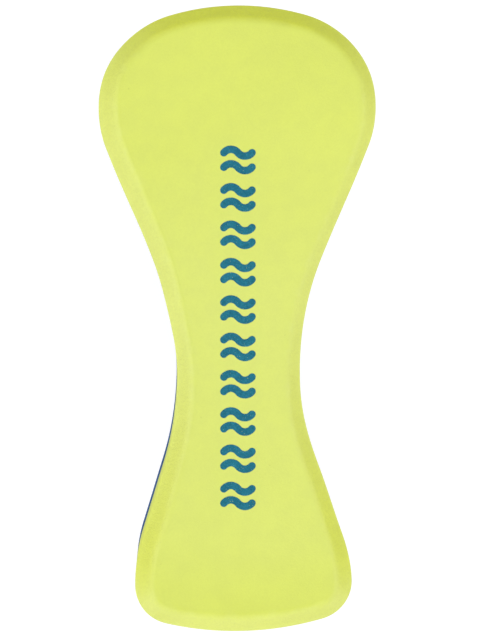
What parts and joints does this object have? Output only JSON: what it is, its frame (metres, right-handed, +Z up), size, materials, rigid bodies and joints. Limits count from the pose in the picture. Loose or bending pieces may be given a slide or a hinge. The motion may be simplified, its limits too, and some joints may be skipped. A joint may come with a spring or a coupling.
{
  "type": "pull buoy",
  "caption": "Figure-eight swimming pull buoy of two-tone laminated closed-cell foam, bevelled around both faces, with a narrow waist that the thighs grip.",
  "frame": {"origin": "on the rear face that the buoy lies on, below the middle of the whole object's box", "axes": "+Z up through the thickness, from the rear face to the printed front face; +Y along the length, towards the larger lobe; +X across the width"},
  "size_m": [0.1086, 0.245, 0.08],
  "materials": {
    "lime_foam": "matt closed-cell EVA foam with a faint satin skin",
    "blue_foam": "matt closed-cell EVA foam",
    "glue": "dried contact adhesive",
    "print_ink": "matt screen-printing ink on foam"
  },
  "bodies": {
    "root": {"front_slab": "lime_foam", "rear_slab": "blue_foam", "glue_layer": "glue", "wave_mark_01": "print_ink", "wave_mark_02": "print_ink", "wave_mark_03": "print_ink", "wave_mark_04": "print_ink", "wave_mark_05": "print_ink", "wave_mark_06": "print_ink", "wave_mark_07": "print_ink", "wave_mark_08": "print_ink", "wave_mark_09": "print_ink", "wave_mark_10": "print_ink"}
  },
  "joints": []
}
